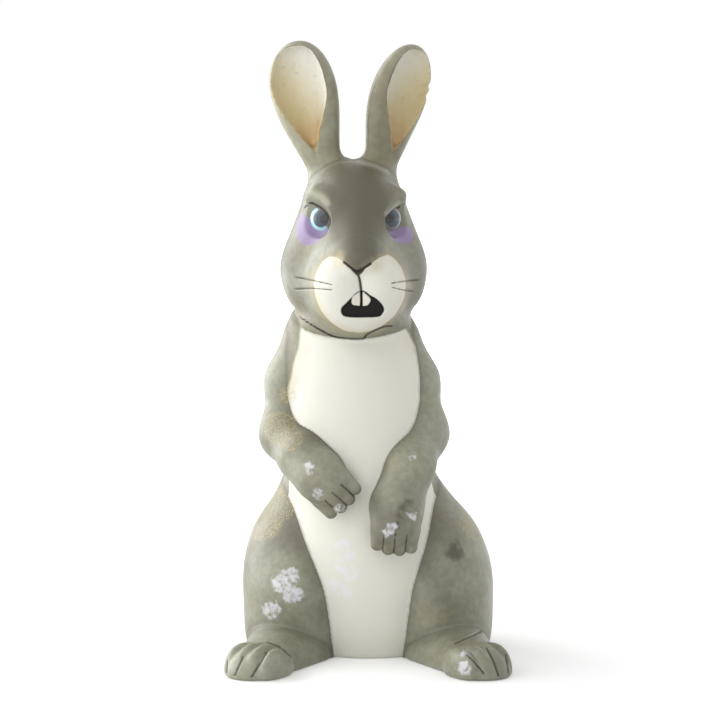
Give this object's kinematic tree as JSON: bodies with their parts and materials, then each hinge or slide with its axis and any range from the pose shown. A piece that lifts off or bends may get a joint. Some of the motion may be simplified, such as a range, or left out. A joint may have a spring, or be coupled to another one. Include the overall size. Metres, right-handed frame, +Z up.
{
  "type": "ceramic rabbit figurine",
  "caption": "Upright ceramic rabbit figurine with tall ears, forelegs on its belly and four-toed hind feet, for standing on a shelf.",
  "frame": {"origin": "middle of the outline on the surface that the figurine stands on", "axes": "+Z up to the ear tips, -Y the way the rabbit faces, +X its own left side"},
  "size_m": [0.1134, 0.1084, 0.2391],
  "materials": {
    "painted_body": "satin sprayed grey-olive paint on fired clay with a cream bib",
    "painted_head": "satin sprayed grey-olive paint with a cream muzzle and dark brushed lines",
    "painted_ear": "satin grey outside, cream and tan inside",
    "eye_glass": null
  },
  "bodies": {
    "root": {"torso_shell": "painted_body", "haunch_left": "painted_body", "haunch_right": "painted_body", "hind_foot_left": "painted_body", "hind_foot_right": "painted_body", "foreleg_left": "painted_body", "foreleg_right": "painted_body", "tail": "painted_body", "head_shell": "painted_head", "ear_left": "painted_ear", "ear_right": "painted_ear", "eye_left": "eye_glass", "eye_right": "eye_glass"}
  },
  "joints": []
}
